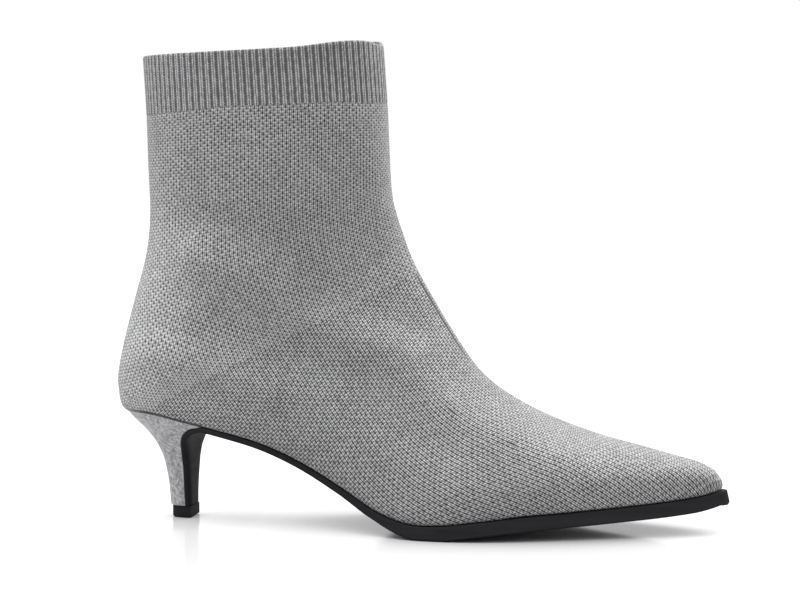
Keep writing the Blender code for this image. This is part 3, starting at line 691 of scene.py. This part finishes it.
def makeUpper(size):
    plain, shaped, outsidePlaces, inside, insidePlaces = upperRings(size)
    rings = list(inside[::-1]) + list(shaped)
    piece = loftRings("knit_upper", rings)
    # the toe is closed to a point outside and inside
    closeEnds(piece, len(rings), toPoint=True)
    # open underneath between the seat and the toe, inside the lasting margin
    margin = marginColumn * size["perColumn"]
    half = halfColumns * size["perColumn"]
    openPlaces = rowPlace(size["openFrom"]), rowPlace(size["openTo"])
    places = list(insidePlaces[::-1]) + list(outsidePlaces)
    opened = {n for n, p in enumerate(places) if openPlaces[0] - 1e-6 <= p <= openPlaces[1] + 1e-6}
    work = bmesh.from_edit_mesh(piece.data)
    columnLayer = work.verts.layers.int["column"]
    ringLayer = work.verts.layers.int["ring"]
    bpy.ops.mesh.select_mode(type="FACE")
    bpy.ops.mesh.select_all(action="DESELECT")
    for face in work.faces:
        face.select_set(all(margin <= v[columnLayer] <= 2 * half - margin and v[ringLayer] in opened
                            for v in face.verts))
    bmesh.update_edit_mesh(piece.data)
    bpy.ops.mesh.delete(type="FACE")
    bridgeOpenEdges(piece)
    finishPiece(piece, size["sharp"])

    # stitch map: across is the way from the ridge, along is the way down the side from the cuff
    def stitchTables(grid, gridPlaces):
        steps = np.linalg.norm(np.diff(grid[:, :half + 1], axis=1), axis=2)
        down = np.concatenate([np.zeros((len(grid), 1)), np.cumsum(steps, axis=1)], axis=1)
        across = np.concatenate([down, down[:, half - 1:0:-1]], axis=1)
        middles = np.minimum(size["walesFrom"], size["walesShare"] * down[:, -1])
        marks = np.array([[np.interp(middle, lengths, ring[:half + 1, i]) for i in range(3)]
                          for middle, lengths, ring in zip(middles, down, grid)])
        markStep = np.linalg.norm(np.diff(marks, axis=0), axis=1)[:, None]
        columnStep = np.linalg.norm(np.diff(grid, axis=0), axis=2)
        legStep = markStep + size["columnShare"] * (columnStep - markStep)
        none = np.zeros((1, across.shape[1]))
        legAlong = np.concatenate([none, np.cumsum(legStep, axis=0)])
        scale, shift, slant, rows = (
            np.interp(gridPlaces, [rowPlace(row) for row in table], list(table.values()))[:, None]
            for table in footStitches.values())
        footStep = np.broadcast_to(markStep * (rows[1:] + rows[:-1]) / 2, columnStep.shape)
        footAlong = knit["footRows"] + np.concatenate([none, np.cumsum(footStep, axis=0)])
        footAlong -= slant * (across - middles[:, None])
        return (across, legAlong), ((across - shift) * scale, footAlong)

    outLeg, outFoot = stitchTables(plain, outsidePlaces)
    inLeg, inFoot = stitchTables(inside, insidePlaces)
    leg, foot = ([np.vstack([inner[::-1], outer]) for inner, outer in zip(*pair)]
                 for pair in ((inLeg, outLeg), (inFoot, outFoot)))
    footRings = [n for n, p in enumerate(places) if p >= size["goreFrom"] - 1e-6]
    mapStitches(piece, "stitch", leg, half, foot=foot, footRings=footRings)
    piece.data.materials.append(knitMaterial)
    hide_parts("upper")
    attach(piece, "root")
    return piece


upper = makeUpper(upperSize)
print("knit upper made:", len(upper.data.polygons), "faces")


# Ribbed cuff

cuffSize = {
    "ribs": 96,
    "ribColumns": 8,        # mesh columns in a rib
    "depth": 0.45,
    "runOut": 1.2,          # the ribs fade into the plain knit over this height
    "wall": 1.8,
    "insideDepth": 0.4,
    "grooveFrom": 0.2,      # from the middle of a rib, in ribs
    "grooveOver": 0.24,
    "insideLevels": (0.0, 0.25, 0.5, 0.75, 0.95),
    "outsideLevels": (0.9, 0.75, 0.6, 0.45, 0.3, 0.15),
    "rim": ((1.3, 0.1, 0.12), (0.675, 0.3, 0.0), (0.3, 0.55, 0.16)),    # inwards, groove's depth, drop
    "rimDrop": 0.6,
    "rimLift": 1.8,         # the collar stands a little higher beside the shin
    "rimLiftX": 110.0,
    "rimLiftSpread": 14.0,
    "cornerDrop": 1.5,      # the collar rounds off at the back and at the front
    "cornerReach": 4.0,
    "sharp": 75,
}


def pushOut(ring, distance):
    tangent = np.roll(ring, -1, axis=0) - np.roll(ring, 1, axis=0)
    normal = np.column_stack([tangent[:, 1], -tangent[:, 0], np.zeros(len(ring))])
    normal /= np.linalg.norm(normal, axis=1)[:, None]
    if np.sum(normal * (ring - ring.mean(axis=0))) < 0:
        normal = -normal
    return ring + normal * np.asarray(distance)[:, None]


def makeCuff(size):
    count = size["ribs"] * size["ribColumns"]
    perColumn = count // (2 * halfColumns)
    phase = np.arange(count) / size["ribColumns"]
    fromTop = np.abs(phase - np.round(phase))
    share = np.clip((fromTop - size["grooveFrom"]) / size["grooveOver"], 0, 1)
    groove = share * share * (3 - 2 * share)
    edge = rowPlace("cuffEdge")
    whole = lastRows["collar"][1] - lastRows["cuffEdge"][1]

    def level(height, inwards, grooveDepth, drop=0.0):
        # height as a share from the cuff's lower edge to the collar
        ring = sectionRing(lastRow(edge - height), perColumn)
        lift = size["rimLift"] * np.exp(-(((ring[:, 0] - size["rimLiftX"]) / size["rimLiftSpread"]) ** 2))
        fromEnd = np.minimum(ring[:, 0] - ring[:, 0].min(), ring[:, 0].max() - ring[:, 0])
        corner = size["cornerDrop"] * np.clip(1 - fromEnd / size["cornerReach"], 0, 1) ** 2
        ring[:, 2] += lift * height ** 2 - drop + topRise(ring[:, 0]) * (1 - height) - corner * height ** 8
        return pushOut(ring, -inwards - grooveDepth * groove)

    runOut = size["runOut"] / whole
    inner = [level(h, size["wall"], -size["insideDepth"]) for h in size["insideLevels"]]
    rim = [level(1.0, *numbers) for numbers in size["rim"]]
    outer = [level(1.0, 0.0, size["depth"], size["rimDrop"])]
    outer += [level(h, 0.0, size["depth"]) for h in (*size["outsideLevels"], runOut)]
    outer += [level(runOut * 0.5, 0.0, 0.75 * size["depth"]), level(0.0, 0.15, 0.3 * size["depth"])]
    rings = inner + rim + outer
    piece = loftRings("rib_cuff", rings)
    bridgeOpenEdges(piece)
    finishPiece(piece, size["sharp"])
    grid = np.array(rings)
    across = np.repeat(phase[None, :], len(rings), axis=0)
    mapStitches(piece, "stitch", (across, grid[:, :, 2]), count - 2, whole=float(size["ribs"]))
    piece.data.materials.append(ribMaterial)
    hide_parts("upper")
    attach(piece, "root")
    return piece


cuff = makeCuff(cuffSize)
print("rib cuff made:", len(cuff.data.polygons), "faces")


# Sole with its flap over the breast of the heel

heelRows = (              # x and z of the back, x and z of the front, half width, roundness
    (7.6, 46.9, 45.5, 42.6, 26.4, 2.8),
    (10.3, 43.8, 39.2, 41.0, 23.4, 2.7),
    (13.5, 40.6, 35.4, 38.0, 19.8, 2.6),
    (16.3, 37.0, 33.6, 34.4, 16.4, 2.5),
    (19.0, 32.8, 32.9, 30.4, 13.2, 2.5),
    (21.4, 27.4, 32.7, 25.7, 10.9, 2.4),
    (22.9, 21.6, 32.7, 20.6, 9.4, 2.4),
    (23.8, 15.8, 32.6, 15.2, 8.4, 2.3),
    (24.3, 10.4, 32.6, 10.2, 7.7, 2.3),
    (24.7, 5.3, 32.7, 5.3, 7.2, 2.3),
)
soleRows = (              # x, how far it stands out of the foot's edge, thickness, flare
    (46.0, 0.7, 2.3, 0.0),
    (72.0, 0.8, 2.6, 0.0),
    (108.0, 1.0, 3.0, 0.1),
    (124.0, 1.3, 3.6, 0.3),
    (138.0, 1.9, 5.4, 0.7),
    (152.0, 2.1, 5.9, 0.9),
    (226.0, 1.9, 5.9, 0.9),
    (255.0, 2.0, 6.1, 1.0),
    (266.0, 2.4, 5.5, 1.2),
)
soleSize = {
    "edge": 0.7,                    # rounding along the lower edge
    "topEdge": 0.3,                 # and along the upper one
    "toeNormal": (0.94, 0.34),      # way out of the last point at the toe
    "floorFlat": (141.0, 157.0),    # it lies on the floor between these x
    "flap": 2.2,
    "flapCorner": 2.0,
    "flapBulge": 0.5,
    "flapBack": 0.2,                # where its rounded corner begins, as a share of its thickness
    "flapSteps": 3,
    "steps": 4,                     # sections from one row of the last to the next
    "sharp": 40,
}


def footBottom(steps):
    places = np.arange(rowPlace("heelCorner"), len(lastRows) - 1 + 1e-6, 1 / steps)
    return np.array([[lastRow(place)[key] for key in ("backX", "backZ", "swing", "feather")]
                     for place in places])


def sideLine(rows, proud, side, toeNormal):
    line = np.column_stack([rows[:, 0], rows[:, 2] + side * rows[:, 3]])
    tangent = np.gradient(line, axis=0)
    normal = np.column_stack([-tangent[:, 1], tangent[:, 0]]) * side
    normal[-1] = toeNormal[0], side * toeNormal[1]
    normal /= np.linalg.norm(normal, axis=1)[:, None]
    return line + normal * proud[:, None]


def forwards(line, distance):
    tangent = np.gradient(line, axis=0)
    normal = np.column_stack([tangent[:, 1], -tangent[:, 0]])
    normal /= np.linalg.norm(normal, axis=1)[:, None]
    return line + normal * distance


def edgeRing(top, low, bottom, rounding, bulge=0.1):
    # section of the sole from its six corners, (outer, inner) pairs, with rounded edges
    top, low, bottom = (np.array(pair, float) for pair in (top, low, bottom))
    topMiddle, bottomMiddle = top.mean(axis=0), bottom.mean(axis=0)
    halves = []
    for t, l, b in zip(top, low, bottom):
        inwards = (topMiddle - t) / max(np.linalg.norm(topMiddle - t), 1e-6)
        downwards = (l - t) / max(np.linalg.norm(l - t), 1e-6)
        shoulder = (l + b) / 2 - inwards * bulge
        halves.append([t + inwards * min(2.0, np.linalg.norm(topMiddle - t) * 0.6), t + inwards * rounding,
                       t + (inwards + downwards) * rounding * 0.3, t + downwards * rounding,
                       t + (l - t) * 0.4, t + (l - t) * 0.75, l, shoulder, b, b + (bottomMiddle - b) * 0.4])
    return np.array([topMiddle] + halves[0] + [bottomMiddle] + halves[1][::-1])


def makeSole(size):
    rows = footBottom(size["steps"])

    def seat(x):
        return np.interp(x, rows[:, 0], rows[:, 1])

    front = rows[rows[:, 0] > heelRows[0][2] + gap]
    table = np.array(soleRows)
    proud, thickness, flare = (np.interp(front[:, 0], table[:, 0], table[:, i]) for i in (1, 2, 3))
    rings = []

    # flap, from the lift up to the seat
    heelTable = np.array(heelRows)[::-1]
    breast, halves = heelTable[:, 2:4], heelTable[:, 4]
    backLine, faceLine = forwards(breast, gap), forwards(breast, gap + size["flap"])
    faceLine[:, 1] = np.maximum(faceLine[:, 1], heelRows[-1][1])
    index = np.arange(len(breast))
    for mark in np.arange(0, len(breast) - 2 + 1e-6, 1 / size["flapSteps"]):
        back, face = (np.array([np.interp(mark, index, line[:, i]) for i in (0, 1)])
                      for line in (backLine, faceLine))
        half = np.interp(mark, index, halves)
        middle = back + size["flapBack"] * (face - back)
        corners = ([(x, -y, z), (x, y, z)] for (x, z), y in
                   ((back, half), (middle, half), (face, half - size["flapCorner"])))
        rings.append(edgeRing(*corners, size["topEdge"], size["flapBulge"]))

    sides, lower, bottom = ([sideLine(front, out, side, size["toeNormal"]) for side in (-1, 1)]
                            for out in (proud, proud + flare, proud + flare - size["edge"]))
    slope = np.gradient(front[:, 1], front[:, 0])
    drop = thickness * np.sqrt(1 + slope ** 2)

    def under(x, k):
        onFloor = size["floorFlat"][0] <= x <= size["floorFlat"][1]
        return 0.0 if onFloor else max(seat(x) - gap - drop[k], 0.0)

    for k in range(len(front)):
        top = [(x, y, seat(x) - gap) for x, y in (line[k] for line in sides)]
        low = [(x, y, under(x, k) + size["edge"]) for x, y in (line[k] for line in lower)]
        base = [(x, y, under(x, k)) for x, y in (line[k] for line in bottom)]
        rings.append(edgeRing(top, low, base, size["topEdge"]))
    piece = loftRings("sole", rings)
    closeEnds(piece, len(rings))
    finishPiece(piece, size["sharp"])
    piece.data.materials.append(soleMaterial)
    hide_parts("outsole")
    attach(piece, "root")
    return piece


sole = makeSole(soleSize)
print("sole made:", len(sole.data.polygons), "faces")


# Covered heel and its tip

heelSize = {
    "arcSteps": 24,
    "levels": 4,            # rings from one row of the table to the next
    "seatTop": 47.2,
    # x, rise of the cover beside the upper
    "lip": ((7.6, 2.9), (15.0, 2.0), (24.0, 2.1), (34.0, 1.3), (45.5, 1.0)),
    "lipStand": 0.35,       # and how far it stands off
    "shadowBandHeight": 1.05,        # height of the lip's band painted dark, a painted shadow of the gap against the upper
    "shadowFade": ((7.0, 0.45), (20.0, 1.0)),     # x, darkness of that painted shadow
    "middleX": 28.0,        # middle of the heel
    "innerShare": 0.9,      # the cover's inner edge lies this far from the middle
    "castFrom": 12.0,       # the upper is looked for from this far outside, over this reach
    "castReach": 30.0,
    "sharp": 50,
}
liftSize = {
    "backX": 25.5,
    "frontX": 35.2,
    "half": 6.6,
    "roundness": 2.6,
    "arcSteps": 20,
    # height, how far its edge is rounded in
    "levels": ((0.0, 0.5), (0.06, 0.3), (0.2, 0.1), (0.5, 0.0), (2.5, 0.0), (4.7, 0.0), (5.0, 0.2)),
    "sharp": 40,
}


def heelRing(row, arcSteps):
    backX, backZ, frontX, frontZ, half, roundness = row
    turn = np.linspace(0, math.pi / 2, arcSteps + 1)
    share = np.sin(turn) ** (2 / roundness)
    width = half * np.cos(turn) ** (2 / roundness)
    outer = [(frontX + (backX - frontX) * s, -w, frontZ + (backZ - frontZ) * s)
             for s, w in zip(share, width)]
    return np.array(outer + [(x, -y, z) for x, y, z in outer[-2::-1]])


def makeHeel(size):
    bottom = footBottom(soleSize["steps"])
    table = np.array(heelRows)
    places = np.arange(0, len(table) - 1 + 1e-6, 1 / size["levels"])
    rings = [heelRing(smoothRow(table, place), size["arcSteps"]) for place in places]

    def seat(x):
        return np.minimum(np.interp(x, bottom[:, 0], bottom[:, 1]), size["seatTop"]) - gap

    rings[0][:, 2] = seat(rings[0][:, 0])

    def beside(height, stand):
        # the ring at a height above the seat, laid on the upper and standing off it
        spots = []
        for x, y, z in rings[0]:
            plain = np.array([x, y, z + np.interp(x, *zip(*size["lip"])) + height])
            inwards = np.array([size["middleX"] - x, -y, 0.0])
            inwards /= np.linalg.norm(inwards)
            start = plain - inwards * size["castFrom"] - bootOrigin
            hit, spot, _, _ = upper.ray_cast(Vector(start * mm), Vector(inwards),
                                             distance=size["castReach"] * mm)
            found = np.array(spot) / mm + bootOrigin if hit else plain
            spots.append(found - inwards * stand)
        return np.array(spots)

    inner = rings[0].copy()
    middle = np.array([size["middleX"], 0.0])
    inner[:, :2] = (inner[:, :2] - middle) * size["innerShare"] + middle
    inner[:, 2] = seat(inner[:, 0])
    edge = size["shadowBandHeight"]
    lip = [inner, beside(0.05, 0.03), beside(-0.25 * edge, size["lipStand"] * 0.7),
           beside(-edge, size["lipStand"]), beside(-edge - 0.2, size["lipStand"])]
    rings = lip + rings
    piece = loftRings("heel_cover", rings)
    closeEnds(piece, len(rings))
    finishPiece(piece, size["sharp"])
    # painted shadow: the lip's band next to the upper is marked dark, fading towards the back
    ringNumbers = readNumbers(piece.data.attributes["ring"].data, "value")
    spotX = np.array([v.co.x for v in piece.data.vertices]) / mm + bootOrigin[0]
    inShadowBand = ringNumbers < len(lip) - 1
    shade = np.where(inShadowBand, np.interp(spotX, *zip(*size["shadowFade"])), 0.0)
    shadowLayer = piece.data.attributes.new("turnedEdge", "FLOAT", "POINT")
    shadowLayer.data.foreach_set("value", shade.astype(np.float32))
    piece.data.materials.append(suedeMaterial)
    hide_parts("heel")
    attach(piece, "root")
    return piece


def makeLift(size):
    rings = []
    for z, inset in size["levels"]:
        row = (size["backX"] + inset, z, size["frontX"] - inset, z, size["half"] - inset, size["roundness"])
        rings.append(heelRing(row, size["arcSteps"]))
    piece = loftRings("heel_tip", rings)
    closeEnds(piece, len(rings))
    finishPiece(piece, size["sharp"])
    piece.data.materials.append(liftMaterial)
    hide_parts("top_lift")
    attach(piece, "root")
    return piece


heel = makeHeel(heelSize)
lift = makeLift(liftSize)
print("heel and tip made")


# Footbed inside

footbedSize = {
    "thickness": 2.0,
    "clear": 1.0,           # between its edge and the upper
    "heelRound": 5.0,       # its back is this much narrower, over the run
    "heelRun": 7.0,
    "edge": 0.6,
    "dish": 0.5,
    "steps": 4,
    "sharp": 50,
}


def makeFootbed(size):
    first, final = rowPlace("seatBack"), rowPlace("toeWing")
    startX = lastRow(first)["backX"]
    rings = []
    for place in np.arange(first, final + 1e-6, 1 / size["steps"]):
        row = insetRow(lastRow(place), upperSize["wall"])
        x, z, y = row["backX"], row["backZ"] + gap, row["swing"]
        narrower = size["heelRound"] * math.exp(-(x - startX) / size["heelRun"])
        half = row["feather"] - size["clear"] - narrower
        top = z + size["thickness"]
        edge = size["edge"]
        outer = [(y - half * 0.5, z), (y - half + edge, z), (y - half, z + edge), (y - half, top - edge),
                 (y - half + 0.3 * edge, top - 0.3 * edge), (y - half + edge, top),
                 (y - half * 0.5, top - size["dish"] * 0.7)]
        inner = [(2 * y - yy, zz) for yy, zz in outer[::-1]]
        rings.append([(x, yy, zz) for yy, zz in
                      [(y, z)] + outer + [(y, top - size["dish"])] + inner])
    piece = loftRings("footbed", rings)
    closeEnds(piece, len(rings))
    finishPiece(piece, size["sharp"])
    piece.data.materials.append(footbedMaterial)
    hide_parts("insole")
    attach(piece, "root")
    return piece


footbed = makeFootbed(footbedSize)
print("footbed made")


# Table top, light and camera

stage = {
    "floorSize": 6000.0,
    "floorDrop": 0.2,        # the floor lies this far under the boot
    "floorColour": "#808080",
    "floorGlow": 0.61,
    "shadeReach": 45.0,      # the emission is painted out where something is this near over it, a painted contact shadow
    "floorCloud": 333.33,    # mm, patches of the floor's gloss
    "worldLight": 1.0,
    "spotSize": 30.0,        # radius of a spot lamp
    "camera": (355.78, -1075.96, 190.0),    # place and aim in the tables' millimetres
    "target": (127.08, 0.0, 96.45),
    "lens": 115.96,
}
bpy.ops.object.select_all(action="DESELECT")
bpy.ops.mesh.primitive_grid_add(x_subdivisions=8, y_subdivisions=8, size=stage["floorSize"] * mm,
                                location=(0, 0, -stage["floorDrop"] * mm))
floor = bpy.context.active_object
floor.name = "table_top"
bpy.ops.object.transform_apply(location=True, rotation=True, scale=True)
# White acrylic light table: glows from below, weak blurred reflection; close under the boot its emission is
# cut by ambient occlusion, a painted contact shadow
floorMaterial = newMaterial("white_acrylic", [
    ("coords", "TexCoord"),
    ("cloud", "TexNoise",
     {"Vector": "coords.Object", "Scale": 1 / (stage["floorCloud"] * mm), "Detail": 2.0}),
    ("gloss", "MapRange", ["cloud.Fac", 0, 1, 0.09, 0.13]),
    # painted contact shadow: ambient occlusion dims the emission under and around the boot
    ("cover", "AmbientOcclusion", {"Distance": stage["shadeReach"] * mm}, {"samples": 6}),
    ("glow", "MapRange", ["cover.AO", 0.15, 0.9, 0.0, stage["floorGlow"]]),
], inputs={"Base Color": stage["floorColour"], "Roughness": "gloss",
           "Specular IOR Level": 0.35, "Emission Color": "#FFFFFF", "Emission Strength": "glow"})
floor.data.materials.append(floorMaterial)

world = bpy.data.worlds.new("studio")
bpy.context.scene.world = world
world.use_nodes = True
backdrop = world.node_tree.nodes["Background"]
backdrop.inputs["Color"].default_value = (1.0, 1.0, 1.0, 1.0)
backdrop.inputs["Strength"].default_value = stage["worldLight"]

# Three broad lights, and weak spots on heel, instep and toe: kind, place and aim in metres from the
# origin, power, spread in degrees
lamps = {
    "overhead_light": ("SUN", (-0.30, -0.08, 1.0), (0.0, 0.0, 0.0), 0.6, 40.0),
    "front_light": ("SUN", (0.5, 0.60, 1.0), (0.0, 0.0, 0.0), 4.4, 40.0),
    "back_light": ("SUN", (-0.8, -0.5, 2.0), (0.0, 0.0, 0.0), 2.6, 40.0),
    "heel_spot": ("SPOT", (-0.79, -0.9, 0.62), (-0.112, -0.02, 0.085), 44.0, 5.6),
    "instep_spot": ("SPOT", (0.9, -0.75, 0.6), (-0.002, -0.012, 0.083), 40.0, 4.2),
    "toe_spot": ("SPOT", (0.6, -1.0, 0.15), (0.088, -0.03, 0.012), 13.0, 6.0),
}
for name, (kind, place, target, power, spread) in lamps.items():
    light = bpy.data.lights.new(name, kind)
    light.energy = power
    if kind == "SUN":
        light.angle = math.radians(spread)
    else:
        light.spot_size = math.radians(spread)
        light.spot_blend = 1.0
        light.shadow_soft_size = stage["spotSize"] * mm
    holder = bpy.data.objects.new(name, light)
    bpy.context.scene.collection.objects.link(holder)
    holder.location = place
    holder.rotation_euler = (Vector(target) - holder.location).to_track_quat("-Z", "Y").to_euler()

cameraData = bpy.data.cameras.new("camera")
cameraData.sensor_width = 36.0
cameraData.lens = stage["lens"]
camera = bpy.data.objects.new("camera", cameraData)
bpy.context.scene.collection.objects.link(camera)
camera.location = Vector((np.array(stage["camera"]) - bootOrigin) * mm)
aim = Vector((np.array(stage["target"]) - bootOrigin) * mm) - camera.location
camera.rotation_euler = aim.to_track_quat("-Z", "Y").to_euler()
bpy.context.scene.camera = camera
bpy.context.scene.view_settings.view_transform = "Standard"
print("stage set")

bpy.context.view_layer.update()
